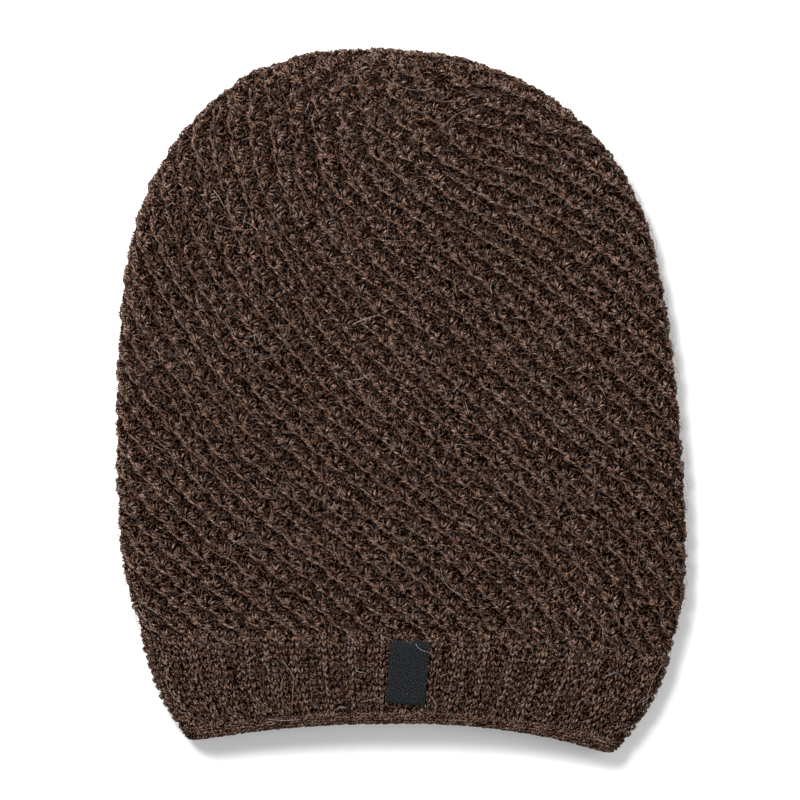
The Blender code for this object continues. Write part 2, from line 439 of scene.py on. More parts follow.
@dataclass(frozen=True)
class HatForm:
    """The smooth outer face of the lying hat, on the same sections as its CAD solids.

    A place is a share of the way round, from the left fold over the face and back underneath, and a distance
    up the middle of the face from the seam, below zero on the band.
    """

    body_width: float = 260 * MM
    body_length: float = 269 * MM
    body_wall: float = 4.0 * MM
    rim_width: float = 193 * MM
    band_height: float = 36.8 * MM
    band_wall: float = 3.0 * MM
    rim_drops: tuple[float, float] = (8.6 * MM, 14.5 * MM)
    band_bulge: float = 3.5 * MM
    fold_radius: float = 10 * MM
    face_rise: float = 6 * MM
    sag_power: float = 2.2
    rim_round: float = 0.80
    crown_taper: float = 40 * MM
    crown_y: float = CAD_BOX[1][1]
    columns: tuple[str, ...] = ("left_out", "left_down", "right_out", "right_down", "round")
    # A row for each tenth of the way from seam to crown: shares of half the width, the length and the fold
    sections: tuple[tuple[float, ...], ...] = (
        (0.902, 1.000, 0.934, 1.037, 0.90),
        (0.972, 0.882, 0.990, 0.929, 0.97),
        (0.994, 0.755, 0.997, 0.794, 1.00),
        (0.997, 0.625, 0.981, 0.659, 1.00),
        (0.990, 0.498, 0.955, 0.527, 1.00),
        (0.965, 0.372, 0.913, 0.394, 1.00),
        (0.899, 0.250, 0.839, 0.265, 1.00),
        (0.762, 0.140, 0.689, 0.152, 1.00),
        (0.566, 0.054, 0.479, 0.068, 1.00),
        (0.318, 0.008, 0.217, 0.017, 1.00),
        (0.056, 0.000, -0.056, 0.000, 1.00),
    )
    # Steps over which slopes of the face are measured
    slope_share: float = 4e-4
    slope_up: float = 0.3 * MM

    @property
    def meridian(self) -> float:
        """Length over the face from seam to crown, round the crown's fold."""
        return self.body_length + (math.pi / 2 - 1) * self.fold_radius

    def read(self, name: str, along: ndarray) -> ndarray:
        """Reads a column of the sections on a smooth curve through its rows.

        Args:
            name: The column.
            along: Shares of the way from seam to crown.

        Returns:
            The column's value at each share.
        """
        values = np.array(self.sections)[:, self.columns.index(name)]
        last = len(values) - 1
        place = np.clip(along, 0, 1) * last
        low = np.clip(np.floor(place).astype(int), 0, last - 1)
        t = place - low
        before, start = values[np.maximum(low - 1, 0)], values[low]
        end, after = values[low + 1], values[np.minimum(low + 2, last)]
        start_slope, end_slope = (end - before) / 2, (after - start) / 2
        return (
            (2 * t**3 - 3 * t**2 + 1) * start
            + (t**3 - 2 * t**2 + t) * start_slope
            + (3 * t**2 - 2 * t**3) * end
            + (t**3 - t**2) * end_slope
        )

    def section(self, up: ndarray, inset: float = 0.0) -> dict[str, ndarray]:
        """The flattened loops of the hat.

        Args:
            up: Distances up the face from the seam.
            inset: How far inside the outer face the loops lie.

        Returns:
            The edges, heights and depths of the loops, by name.
        """
        along = np.clip(up / self.meridian, 0, 1)
        arc = self.fold_radius * math.pi / 2
        from_crown = (1 - along) * self.meridian
        turn = np.minimum(from_crown / self.fold_radius, math.pi / 2)
        middle_down = self.fold_radius - (self.fold_radius - inset) * np.cos(turn)
        middle_down = middle_down + np.maximum(0, from_crown - arc)
        fold = self.fold_radius * self.read("round", along)
        left = -self.read("left_out", along) * self.body_width / 2
        right = self.read("right_out", along) * self.body_width / 2
        side_inset = inset * np.minimum(1, (right - left) / 2 / self.crown_taper)
        top_y = self.crown_y - inset * along**2
        body = {
            "left": left + side_inset,
            "right": right - side_inset,
            "left_y": top_y - self.read("left_down", along) * self.body_length,
            "right_y": top_y - self.read("right_down", along) * self.body_length,
            "middle_y": self.crown_y - middle_down,
            "centre_z": fold,
            "half_depth": (fold - inset) * np.sin(turn),
            "rise": self.face_rise * np.sin(turn) * self.read("round", along),
        }
        rim_y = self.crown_y - self.body_length - self.band_height
        rim = {
            "left": inset - self.rim_width / 2,
            "right": self.rim_width / 2 - inset,
            "left_y": rim_y - self.rim_drops[0],
            "right_y": rim_y - self.rim_drops[1],
            "middle_y": rim_y,
            "centre_z": self.fold_radius * self.rim_round,
            "half_depth": self.fold_radius * self.rim_round - inset,
            "rise": self.face_rise * self.rim_round,
        }
        share = np.clip(1 + up / self.band_height, -0.2, 1)
        band = {key: rim[key] + (body[key] - rim[key]) * share for key in rim}
        bulge = self.band_bulge * np.sin(math.pi * np.clip(share, 0, 1))
        band["left"] = band["left"] - bulge
        band["right"] = band["right"] + bulge
        return {key: np.where(up < 0, band[key], body[key]) for key in body}

    def point(self, share: ndarray, up: ndarray, inset: float = 0.0) -> ndarray:
        """Points of the smooth outer face, or of a face inside it.

        Args:
            share: Shares of the way round.
            up: Distances up the face from the seam.
            inset: How far inside the outer face the points lie.

        Returns:
            The points, in metres.
        """
        share, up = np.broadcast_arrays(share, up)
        s = self.section(up, inset)
        half = (s["right"] - s["left"]) / 2
        depth = np.maximum(s["half_depth"], 1e-7)
        straight = half - depth
        quarter = math.pi * depth / 2
        girth = 4 * straight + TURN * depth
        under = (share % 1) >= 0.5
        travel = (share % 0.5) * girth
        first, last = travel / depth, (travel - quarter - 2 * straight) / depth
        before, after = travel < quarter, travel > quarter + 2 * straight
        across = np.where(before, -straight - depth * np.cos(first), travel - quarter - straight)
        across = np.where(after, straight + depth * np.sin(last), across)
        height = np.where(before, depth * np.sin(first), np.where(after, depth * np.cos(last), depth))
        side = np.where(under, -1, 1)
        out = across * side / half
        edge_y = np.where(out < 0, s["left_y"], s["right_y"])
        y = s["middle_y"] + (edge_y - s["middle_y"]) * np.abs(out) ** self.sag_power
        face = np.where(under, 0, height / depth)
        z = s["centre_z"] + side * height + s["rise"] * face * (1 - out**2)
        return np.stack(((s["left"] + s["right"]) / 2 + across * side, y, z), axis=-1)

    def axes(self, share: ndarray, up: ndarray) -> tuple[ndarray, ...]:
        """Points of the outer face with their slopes and normals.

        Args:
            share: Shares of the way round.
            up: Distances up the face from the seam.

        Returns:
            Points, change of place for a whole turn, change of place up the face, and unit normals.
        """
        turn, rise = self.slope_share, self.slope_up
        across = (self.point(share + turn, up) - self.point(share - turn, up)) / (2 * turn)
        upward = (self.point(share, up + rise) - self.point(share, up - rise)) / (2 * rise)
        return self.point(share, up), across, upward, unit(np.cross(across, upward), 1e-12)

    def find(self, x: ndarray, y: ndarray, tries: int = 12) -> tuple[ndarray, ndarray]:
        """Finds the places on the face that lie over points of the floor.

        Args:
            x: Points' distances to the right.
            y: Points' distances towards the crown.
            tries: How many times the guess is bettered.

        Returns:
            Shares of the way round and heights.
        """
        share, up = np.full(x.shape, 0.25), y - (self.crown_y - self.body_length)
        for _ in range(tries):
            point, around, upward, _ = self.axes(share, up)
            miss_x, miss_y = x - point[..., 0], y - point[..., 1]
            scale = around[..., 0] * upward[..., 1] - around[..., 1] * upward[..., 0]
            share = share + (miss_x * upward[..., 1] - miss_y * upward[..., 0]) / scale
            up = up + (miss_y * around[..., 0] - miss_x * around[..., 1]) / scale
            share = np.clip(share, 0.01, 0.49)
        return share, up

    def lifted(self, share: ndarray, up: ndarray, height: ndarray, sink: float) -> tuple[ndarray, ndarray]:
        """Points above the face that yarn is laid on; where the hat lies on the floor, the yarn is pressed.

        Args:
            share: Shares of the way round.
            up: Distances up the face from the seam.
            height: Heights above the base of the yarn.
            sink: How far the base lies inside the outer face.

        Returns:
            The points and the unit normals there.
        """
        point, _, _, normal = self.axes(share, up)
        press = 1 - PRESSED * np.clip(-normal[..., 2], 0, 1)
        return point + normal * (height * press - sink)[..., None], normal

    def scatter(self, count: int, span: tuple[float, float], rng: Generator) -> tuple[ndarray, ...]:
        """Scatters places evenly over a stretch of the hat.

        Args:
            count: How many.
            span: The lowest and the highest distance up the face.
            rng: The source of the scatter.

        Returns:
            Shares of the way round, heights, and the lengths there of a whole turn and of a unit up.
        """
        drawn = count * 4
        share = rng.uniform(0, 1, drawn)
        up = rng.uniform(*span, drawn)
        _, around, upward, _ = self.axes(share, up)
        area = np.linalg.norm(np.cross(around, upward), axis=-1)
        kept = rng.uniform(0, area.max(), drawn) < area
        values = (share, up, np.linalg.norm(around, axis=-1), np.linalg.norm(upward, axis=-1))
        return tuple(value[kept][:count] for value in values)


class Side(Enum):
    """The two halves of the lying hat."""

    FACE = 0
    BACK = 1

    def holds(self, share: ndarray) -> ndarray:
        """Says which shares of the way round lie on this side."""
        return ((share % 1) >= 0.5) == bool(self.value)


def grid(rows: int, columns: int, closed: bool) -> ndarray:
    """Faces of a grid of points.

    Args:
        rows: Rows of points.
        columns: Points in a row.
        closed: Whether each row closes to a ring.

    Returns:
        Four vertex places for each face.
    """
    i, j = np.meshgrid(np.arange(rows - 1), np.arange(columns if closed else columns - 1), indexing="ij")
    k = (j + 1) % columns
    corners = (i * columns + j, i * columns + k, (i + 1) * columns + k, (i + 1) * columns + j)
    return np.stack(corners, axis=-1).reshape(-1, 4)


def fill_mesh(data: Mesh, points: ndarray, quads: ndarray) -> None:
    """Fills a mesh with points and four-sided faces, shaded smooth.

    Args:
        data: The empty mesh.
        points: Its vertices.
        quads: Four vertex places for each face.
    """
    data.vertices.add(len(points))
    data.vertices.foreach_set("co", points.astype(np.float32).ravel())
    data.loops.add(quads.size)
    data.loops.foreach_set("vertex_index", quads.astype(np.int32).ravel())
    data.polygons.add(len(quads))
    data.polygons.foreach_set("loop_start", np.arange(0, quads.size, 4, dtype=np.int32))
    data.update(calc_edges=True)
    data.shade_smooth()


@dataclass
class Piece:
    """One visible piece of the hat, which rides on it."""

    name: str
    points: ndarray
    quads: ndarray
    # Places on the piece's map, in millimetres, for each corner of each face
    places: ndarray
    tones: ndarray | None = None

    def build(self, finish: Material, slot: str) -> Object:
        """Builds the piece.

        Args:
            finish: Its material.
            slot: Not used.

        Returns:
            The piece.
        """
        data = bpy.data.meshes.new(self.name)
        fill_mesh(data, self.points.reshape(-1, 3), self.quads)
        uv = data.uv_layers.new(name="yarn")
        uv.data.foreach_set("uv", self.places.astype(np.float32).ravel())
        if self.tones is not None:
            tone = data.attributes.new("tone", "FLOAT", "POINT")
            tone.data.foreach_set("value", self.tones.astype(np.float32))
        data.materials.append(finish)
        piece = bpy.data.objects.new(self.name, data)
        bpy.context.scene.collection.objects.link(piece)
        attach(piece, ROOT)
        LOG.info("%s: %d faces", self.name, len(data.polygons))
        return piece


@dataclass
class Strands:
    """Many short yarns, each swept round its own path."""

    paths: ndarray
    ups: ndarray
    radii: ndarray
    tones: ndarray
    sides: int = 3
    # Each yarn's map starts somewhere in this many millimetres, so no two look alike
    map_start: float = 400

    def thinned(self) -> "Strands":
        """Draws the yarns in fewer steps, for the side that is pressed flat.

        Returns:
            The yarns' ends and middles alone.
        """
        middle = self.paths.shape[1] // 2
        parts = []
        for values in (self.paths, self.ups, self.radii, self.tones):
            mean = (values[:, middle - 1] + values[:, middle]) / 2
            parts.append(np.stack((values[:, 0], mean, values[:, -1]), axis=1))
        return Strands(*parts, sides=self.sides)

    def mesh(self, name: str, finish: Material, slot: str) -> None:
        """Builds one piece of all the yarns, with a map round and along each of them.

        Args:
            name: The piece's name.
            finish: Its material.
            slot: Not used: it is only passed on to the piece.
        """
        count, steps = self.paths.shape[:2]
        sides = self.sides
        tangent = unit(np.gradient(self.paths, axis=1))
        across = unit(np.cross(tangent, self.ups))
        over = np.cross(across, tangent)
        angles = TURN * np.arange(sides) / sides + math.pi / 2
        ring = np.cos(angles)[:, None] * across[:, :, None, :]
        ring = ring + np.sin(angles)[:, None] * over[:, :, None, :]
        points = self.paths[:, :, None, :] + ring * self.radii[:, :, None, None]
        # Yarn under the hat is pressed flat on the floor
        points[..., 2] = np.maximum(points[..., 2], 0)
        starts = np.arange(count)[:, None, None] * steps * sides
        quads = (grid(steps, sides, True) + starts).reshape(-1, 4)
        length = np.linalg.norm(np.diff(self.paths, axis=1), axis=-1).cumsum(axis=1) / MM
        length = np.concatenate((np.zeros((count, 1)), length), axis=1)
        length = length + np.random.default_rng(SEED).uniform(0, self.map_start, (count, 1))
        around = np.arange(sides + 1) / sides
        u = np.stack((around[:-1], around[1:], around[1:], around[:-1]), axis=-1)
        low, high = length[:, :-1, None], length[:, 1:, None]
        v = np.stack((low, low, high, high), axis=-1)
        places = np.stack(np.broadcast_arrays(u, v), axis=-1)
        tones = np.repeat(np.broadcast_to(self.tones.reshape(count, -1), (count, steps)), sides)
        Piece(name, points, quads, places, tones).build(finish, slot)


@dataclass(frozen=True)
class Wall:
    """A closed cloth wall that yarns stand on."""

    form: HatForm
    name: str
    # Distances up the face from the seam, with a ring of vertices at each
    ups: ndarray
    # How far the wall's outer face lies inside the hat's outer face, at the folds and on the flat sides
    depths: tuple[float, float]
    # How far its inner face does
    inset: float
    # Whether the last ring closes over the crown
    capped: bool
    columns: int = 140
    # Tones of its outer face, darker as painted shade under its yarns, and of its inner one
    tones: tuple[float, float] = (0.3, 0.64)
    map_round_mm: float = 540

    def ends(self) -> list[ndarray]:
        """Faces that close the wall at its first and last rings.

        Returns:
            Four vertex places for each face, in groups.
        """
        rings, columns = len(self.ups), self.columns
        inner = rings * columns
        j = np.arange(columns)
        k = (j + 1) % columns
        quads = []
        for row, order in ((0, -1), (rings - 1, 1)):
            a = row * columns
            b = a + inner
            if row == 0 or not self.capped:
                quads.append(np.stack((a + j, a + k, b + k, b + j), axis=-1)[:, ::order])
        if self.capped:
            j = np.arange(columns // 2)
            far = (columns - j) % columns
            near = (columns - j - 1) % columns
            for layer, order in ((0, 1), (1, -1)):
                a = (rings - 1 + layer * rings) * columns
                quads.append(np.stack((a + j, a + j + 1, a + near, a + far), axis=-1)[1:-1, ::order])
        return quads

    def build(self, finish: Material, slot: str) -> Object:
        """Builds the wall.

        Args:
            finish: Its material.
            slot: Not used: it is only passed on to the piece.

        Returns:
            The piece.
        """
        ups, shares = self.ups[:, None], np.arange(self.columns)[None, :] / self.columns
        outside, _, _, normal = self.form.axes(shares, ups)
        fold, flat = self.depths
        shallow = np.exp(-np.abs(ups) / SEAM_EASE)[..., None]
        outside = outside - normal * (fold + (flat - fold) * normal[..., 2:] ** 2 * (1 - shallow))
        inside = self.form.point(shares, ups, self.inset)
        outer = grid(len(ups), self.columns, True)
        quads = np.concatenate([outer, outer[:, ::-1] + len(ups) * self.columns, *self.ends()])
        places = np.stack(np.broadcast_arrays(shares * self.map_round_mm, ups / MM), axis=-1).reshape(-1, 2)
        places = np.tile(places, (2, 1))[quads]
        tones = np.repeat(self.tones, ups.size * self.columns)
        return Piece(self.name, np.stack((outside, inside)), quads, places, tones).build(finish, slot)


@dataclass(frozen=True)
class StarRows:
    """Rows of star stitches that wind round the body at a slant and merge towards the crown."""

    form: HatForm
    rows: int = 44
    slant: float = math.radians(45)
    course: float = 7.04 * MM
    # How far up the first stars lie, as a share of a course
    first_course: float = 0.22
    star_length: float = 9.96 * MM
    star_width: float = 8.93 * MM
    # How far a star may be stretched along its row and across it
    long_limits: tuple[float, float] = (0.7, 1.4)
    wide_limits: tuple[float, float] = (0.35, 1.5)
    crown_stop: float = 5 * MM
    # A row closes up over this share of the widest round, and faster where the round is below the second
    fade: float = 0.14
    quick_from: float = 0.4
    # A row that ends is closed up once it is narrower than this share of a full one
    narrowest: float = 0.15
    # The cloth is drawn tighter round the right fold than round the left one
    crowding: float = 0.10
    # The rows lie flatter in a belt round the lower part of the body, and steeper near the crown
    belt_up: float = 62 * MM
    belt_half: float = 42 * MM
    belt_slant: float = math.radians(6)
    steep_up: float = 215 * MM
    steep_half: float = 45 * MM
    steep_slant: float = math.radians(-8)
    # Above this height they fan out, wider apart up the middle and closer at the folds, and meet at the crown
    fan_up: float = 130 * MM
    fan_length: float = 90 * MM
    fan_close: float = 25 * MM
    fan_most: float = 0.22

    @cached_property
    def heights(self) -> ndarray:
        """Distances up the face at which the rows are worked out."""
        return np.arange(-4 * MM, self.form.meridian - self.crown_stop / 2, 0.5 * MM)

    @cached_property
    def rounds(self) -> ndarray:
        """Length round the hat at each height."""
        loops = self.form.point(np.linspace(0, 1, 241)[None, :], self.heights[:, None])
        return np.linalg.norm(np.diff(loops, axis=1), axis=-1).sum(axis=1)

    @cached_property
    def weights(self) -> ndarray:
        """How much of its full width each row has at each height, from 1 down to 0 where it has ended."""
        widest = int(np.argmax(self.rounds))
        need = np.where(np.arange(len(self.heights)) < widest, 1, self.rounds / self.rounds[widest])
        fade = self.fade * np.clip(need / self.quick_from, 0.1, 1)
        # Rows end in the order of the golden ratio, so those that end one after the other lie far apart
        ranks = (np.arange(self.rows) * (math.sqrt(5) - 1) / 2) % 1
        t = np.clip((need[None, :] - ranks[:, None] * (1 - fade)) / fade, 0, 1)
        return t * t * (3 - 2 * t)

    @cached_property
    def shares(self) -> ndarray:
        """Where each row is on its way round, at each height."""
        total = self.weights.sum(axis=0)
        middles = (np.cumsum(self.weights, axis=0) - self.weights / 2) / total
        step = self.heights[1] - self.heights[0]
        belt = np.exp(-(((self.heights - self.belt_up) / self.belt_half) ** 2))
        steep = np.clip((self.heights - self.steep_up) / self.steep_half / 2 + 0.5, 0, 1)
        slants = self.slant + self.belt_slant * belt + self.steep_slant * steep
        spin = np.cumsum(np.tan(slants) * step / self.rounds)
        even = middles - (spin - np.interp(0, self.heights, spin))[None, :]
        turn = TURN * even
        fanned = self.fan(self.heights) * np.sin(2 * turn) / (2 * TURN)
        return even + self.crowding * np.sin(turn) / TURN - fanned

    def fan(self, up: ndarray) -> ndarray:
        """Says how far the rows fan out at a height."""
        opened = np.clip((up - self.fan_up) / self.fan_length, 0, 1)
        return self.fan_most * opened * np.clip((self.form.meridian - up) / self.fan_close, 0, 1)

    def stars(self) -> dict[str, ndarray]:
        """Lays out the stars.

        Returns:
            For each star its share and height, its unit axes along and across its row, and its scales.
        """
        total = self.weights.sum(axis=0)
        stars = []
        first, last = self.course * self.first_course, self.form.meridian - self.crown_stop
        for course in np.arange(first, last, self.course):
            low, high = course - self.course / 2, course + self.course / 2
            for row in range(self.rows):
                weight = float(np.interp(course, self.heights, self.weights[row]))
                if weight > self.narrowest:
                    places = np.interp((low, course, high), self.heights, self.shares[row])
                    turn = TURN * float(places[1])
                    drawn = 1 + self.crowding * math.cos(turn) - float(self.fan(course)) * math.cos(2 * turn)
                    width = drawn * weight / float(np.interp(course, self.heights, total))
                    stars.append((places[1], course, places[0], low, places[2], high, width))
        share, up, low_share, low, high_share, high, width = np.array(stars).T
        _, around, upward, normal = self.form.axes(share, up)
        along = self.form.point(low_share, low) - self.form.point(high_share, high)
        along -= (along * normal).sum(-1, keepdims=True) * normal
        length = np.linalg.norm(along, axis=-1)
        along /= length[:, None]
        area = np.linalg.norm(np.cross(around, upward), axis=-1) * width * self.course
        return {
            "share": share,
            "up": up,
            "along": along,
            "across": np.cross(normal, along),
            "around": around,
            "upward": upward,
            "long": np.clip(length / self.star_length, *self.long_limits),
            "wide": np.clip(area / length / self.star_width, *self.wide_limits),
        }


@dataclass(frozen=True)
class Lay:
    """How evenly a kind of yarn lies in a star: its lean, its shift, its tones and how far its hairs stray."""

    lean: float
    shift: float
    tone: float
    spread: float
    stray: float


@dataclass(frozen=True)
class Body:
    """The slouchy body: a cloth wall under rows of star stitches."""

    form: HatForm
    rows: StarRows
    wool: Material
    ground: Material
    petal_lay: Lay = Lay(lean=math.radians(12), shift=0.26 * MM, tone=0.50, spread=0.15, stray=0.9)
    ridge_lay: Lay = Lay(lean=math.radians(10), shift=0.18 * MM, tone=0.46, spread=0.15, stray=0.9)
    # The groove yarns' lower tone is painted shade in the groove beside each row
    groove_lay: Lay = Lay(lean=math.radians(28), shift=0.50 * MM, tone=0.26, spread=0.16, stray=1.2)
    petals: int = 10
    first_petal: float = math.radians(-32)
    last_petal: float = math.radians(212)
    # The dark eye of a star is a slit turned from the row's line
    slit_turn: float = math.radians(20)
    sink: float = 2.0 * MM
    # Steps along a petal, from the slit out: reach along the slit and across it, height and radius in mm
    petal_profile: tuple[tuple[float, ...], ...] = (
        (1.8, 0.6, 0.1, 0.36),
        (2.4, 1.4, 1.55, 0.50),
        (3.3, 2.5, 1.65, 0.54),
        (4.3, 3.7, 0.1, 0.42),
    )
    # Steps along a ply of the ridge yarn: place along the row, across it, height and radius in millimetres
    ply_profile: tuple[tuple[float, ...], ...] = (
        (-1.35, -0.55, 0.7, 0.36),
        (-0.45, -0.20, 1.65, 0.49),
        (0.45, 0.20, 1.65, 0.49),
        (1.35, 0.55, 0.7, 0.36),
    )
    ridge_plies: int = 8
    ridge_place: float = -1.35 * MM
    # How far the ridge yarn waves sideways and up along a star
    ridge_wave: float = 0.5 * MM
    ridge_swell: float = 0.3 * MM
    # Middles of the short loops in the groove beside a row: along it, across it and height in millimetres
    groove_loops: tuple[tuple[float, ...], ...] = (
        (-4.9, 0.6, -0.7),
        (-4.9, 2.4, -0.7),
        (-3.6, 4.2, -1.0),
        (-0.8, 4.9, -1.2),
        (2.2, 4.7, -1.2),
    )
    # How far single yarns and whole stars differ in height, yarns in thickness, and stars in tone
    yarn_height: float = 0.20 * MM
    star_height: float = 0.12 * MM
    thickness: float = 0.15
    star_tone: float = 0.03
    size_limits: tuple[float, float] = (0.5, 1.1)
    # Painted shade and light: wool deep between the loops is darker and wool on their crests lighter, by
    # height
    height_shade_tone: float = 0.18
    crest_middle: float = 0.9 * MM
    crest_half: float = 1.2 * MM
    # Short loops fill the cloth where rows merge at the crown: steps along, height and radius in millimetres
    filling: int = 620
    filling_from: float = 232 * MM
    filling_stop: float = 3 * MM
    filling_profile: tuple[tuple[float, ...], ...] = (
        (-1.6, 0.2, 0.34),
        (-0.5, 1.2, 0.46),
        (0.5, 1.2, 0.46),
        (1.6, 0.2, 0.34),
    )
    # Hairs lie on the yarns: their share of a yarn's length, height above it, radius and wander in millimetres
    hair: tuple[float, float, float, float] = (0.8, 0.42, 0.22, 0.42)
    hair_taper: tuple[float, float, float] = (0.7, 1.0, 0.4)
    # The wall's outer face, inside the hat's at the folds and below the yarns' base on the flat sides
    fold_depth: float = 1.0 * MM
    under_yarn: float = 0.2 * MM
    # Its rings: from the seam over most of the way, and closer ones up to the crown, so many of each
    wall_from: float = 0.3 * MM
    wall_most: float = 0.93
    wall_rings: int = 60
    crown_from_mm: float = 18
    crown_to_mm: float = 1.2
    crown_rings: int = 16
    # The stars are in two pieces to a side, parted at this share of the way up
    parting: float = 0.42

    def patterns(self) -> tuple[ndarray, ndarray]:
        """One star's yarns on flat cloth.

        Returns:
            Places along the row, across it and above it for each step of each yarn, and radii.
        """
        paths, radii = [], []
        reach_along, reach_across, height, radius = np.array(self.petal_profile).T * MM
        for angle in np.linspace(self.first_petal, self.last_petal, self.petals):
            u, v = reach_along * math.cos(angle), reach_across * math.sin(angle)
            along = u * math.cos(self.slit_turn) - v * math.sin(self.slit_turn)
            across = u * math.sin(self.slit_turn) + v * math.cos(self.slit_turn)
            paths.append(np.stack((along, across, height), axis=-1))
            radii.append(radius)
        along, across, height, radius = np.array(self.ply_profile).T * MM
        for i in range(self.ridge_plies):
            place = (i + 0.5) / self.ridge_plies - 0.5
            wave = math.cos(TURN * place)
            side = self.ridge_place - self.ridge_wave * wave
            middle = (self.rows.star_length * place, side, self.ridge_swell * wave)
            paths.append(np.stack((along, across, height), axis=-1) + np.array(middle))
            radii.append(radius)
        for i, middle in enumerate(self.groove_loops):
            lean = 1 - 2 * (i % 2)
            paths.append(np.stack((along, lean * across, height), axis=-1) + np.array(middle) * MM)
            radii.append(radius)
        return np.array(paths), np.array(radii)

    def laid(self, name: str) -> ndarray:
        """Reads one field of the lay of each of a star's yarns, in the pattern's order."""
        lays = (self.petal_lay, self.ridge_lay, self.groove_lay)
        counts = (self.petals, self.ridge_plies, len(self.groove_loops))
        return np.repeat([getattr(lay, name) for lay in lays], counts)

    def strands(self, stars: dict[str, ndarray], rng: Generator) -> Strands:
        """Lays the yarns of all the stars on the hat.

        Args:
            stars: The stars' places and axes.
            rng: The source of the small differences between stars.

        Returns:
            The yarns.
        """
        paths, radii = self.patterns()
        count, yarns, steps = len(stars["share"]), *paths.shape[:2]
        shift = rng.normal(0, 1, (count, yarns, 1, 2)) * self.laid("shift")[None, :, None, None]
        tall = rng.normal(0, self.yarn_height, (count, yarns, 1))
        tall = tall + rng.normal(0, self.star_height, (count, 1, 1))
        thick = rng.normal(1, self.thickness, (count, yarns, 1))
        # Yarns lean about their own middles
        lean = rng.normal(0, 1, (count, yarns, 1)) * self.laid("lean")[None, :, None]
        middle = paths[..., :2].mean(axis=1)[None, :, None, :]
        off = paths[None, ..., :2] - middle
        along = middle[..., 0] + off[..., 0] * np.cos(lean) - off[..., 1] * np.sin(lean)
        across = middle[..., 1] + off[..., 0] * np.sin(lean) + off[..., 1] * np.cos(lean)
        along = (along + shift[..., 0]) * stars["long"][:, None, None]
        across = (across + shift[..., 1]) * stars["wide"][:, None, None]
        height = paths[None, ..., 2] + tall
        move = along[..., None] * stars["along"][:, None, None, :]
        move = move + across[..., None] * stars["across"][:, None, None, :]
        share, up = self.moved(stars, move)
        up = np.minimum(up, self.form.meridian - CROWN_MARGIN)
        points, normals = self.form.lifted(share, up, height, self.sink)
        size = np.sqrt(np.clip(stars["wide"], *self.size_limits))[:, None, None]
        depth = np.clip((height - self.crest_middle) / self.crest_half, -1, 1)
        tones = rng.normal(0, 1, (count, yarns, 1)) * self.laid("spread")[None, :, None]
        tones = tones + self.laid("tone")[None, :, None] + rng.normal(0, self.star_tone, (count, 1, 1))
        # Painted shade low between the loops, and painted light on their crests
        tones = tones + self.height_shade_tone * depth
        parts = (points, normals, radii[None] * thick * size, tones)
        return Strands(*(part.reshape(-1, steps, *part.shape[3:]) for part in parts))

    def hairs(self, yarns: Strands, rng: Generator) -> Strands:
        """Lays a hair over each yarn, askew.

        Args:
            yarns: The yarns.
            rng: The source of the hairs' ways.

        Returns:
            The hairs.
        """
        count, steps = yarns.paths.shape[:2]
        share, rise, radius, wander = self.hair
        low = rng.uniform(0, 1 - share, (count, 1))
        places = (low + share * np.linspace(0, 1, 3)[None, :]) * (steps - 1)
        first = np.minimum(places.astype(int), steps - 2)
        part = (places - first)[..., None]
        rows = np.arange(count)[:, None]
        paths = yarns.paths[rows, first] * (1 - part) + yarns.paths[rows, first + 1] * part
        ups = yarns.ups[rows, first]
        aside = unit(np.cross(paths[:, -1] - paths[:, 0], ups[:, 1]))
        stray = np.tile(self.laid("stray"), count // len(self.laid("stray")))[:, None]
        drift = rng.normal(0, 0.8, (count, 1)) + rng.normal(0, 1.8, (count, 1)) * np.linspace(-1, 1, 3)
        paths = paths + aside[:, None, :] * (wander * MM * (stray * drift))[..., None]
        paths = paths + ups * (rise * MM * rng.uniform(0.6, 1.3, (count, 3)))[..., None]
        radii = radius * MM * rng.uniform(0.7, 1.3, (count, 1)) * np.array(self.hair_taper)
        tones = yarns.tones.mean(axis=1, keepdims=True) + rng.normal(0.04, 0.4, (count, 1))
        return Strands(paths, ups, radii, tones)

    def filled(self, rng: Generator) -> Strands:
        """Lays short loops every way over the cloth round the crown.

        Args:
            rng: The source of their places and ways.

        Returns:
            The loops.
        """
        top = self.form.meridian - self.filling_stop
        share, up, around, upward = self.form.scatter(self.filling, (self.filling_from, top), rng)
        along, height, radius = np.array(self.filling_profile).T * MM
        count = len(share)
        heading = rng.uniform(0, math.pi, (count, 1))
        share = share[:, None] + along * np.cos(heading) / around[:, None]
        up = up[:, None] + along * np.sin(heading) / upward[:, None]
        up = np.minimum(up, self.form.meridian - CROWN_MARGIN)
        points, normals = self.form.lifted(share, up, height * rng.normal(1, 0.2, (count, 1)), self.sink)
        return Strands(points, normals, np.broadcast_to(radius, share.shape), rng.normal(0.42, 0.16, count))

    @staticmethod
    def moved(stars: dict[str, ndarray], move: ndarray) -> tuple[ndarray, ndarray]:
        """Turns small moves in the stars' planes into places on the hat.

        Args:
            stars: The stars' places and axes.
            move: Moves from each star's middle.

        Returns:
            Shares of the way round and heights.
        """
        around, upward = stars["around"][:, None, None, :], stars["upward"][:, None, None, :]
        aa, bb, ab = (around**2).sum(-1), (upward**2).sum(-1), (around * upward).sum(-1)
        ma, mb = (move * around).sum(-1), (move * upward).sum(-1)
        scale = aa * bb - ab**2
        share = stars["share"][:, None, None] + (ma * bb - mb * ab) / scale
        return share, stars["up"][:, None, None] + (mb * aa - ma * ab) / scale

    def wall(self) -> Wall:
        """Sets out the cloth wall.

        Returns:
            The wall, with closer rings towards the crown.
        """
        meridian = self.form.meridian
        rings = np.linspace(self.wall_from, meridian * self.wall_most, self.wall_rings)
        closer = meridian - np.geomspace(self.crown_from_mm, self.crown_to_mm, self.crown_rings) * MM
        ups = np.concatenate((rings, closer))
        depths = (self.fold_depth, self.sink + self.under_yarn)
        return Wall(self.form, "body_wall", ups, depths, self.form.body_wall, True)

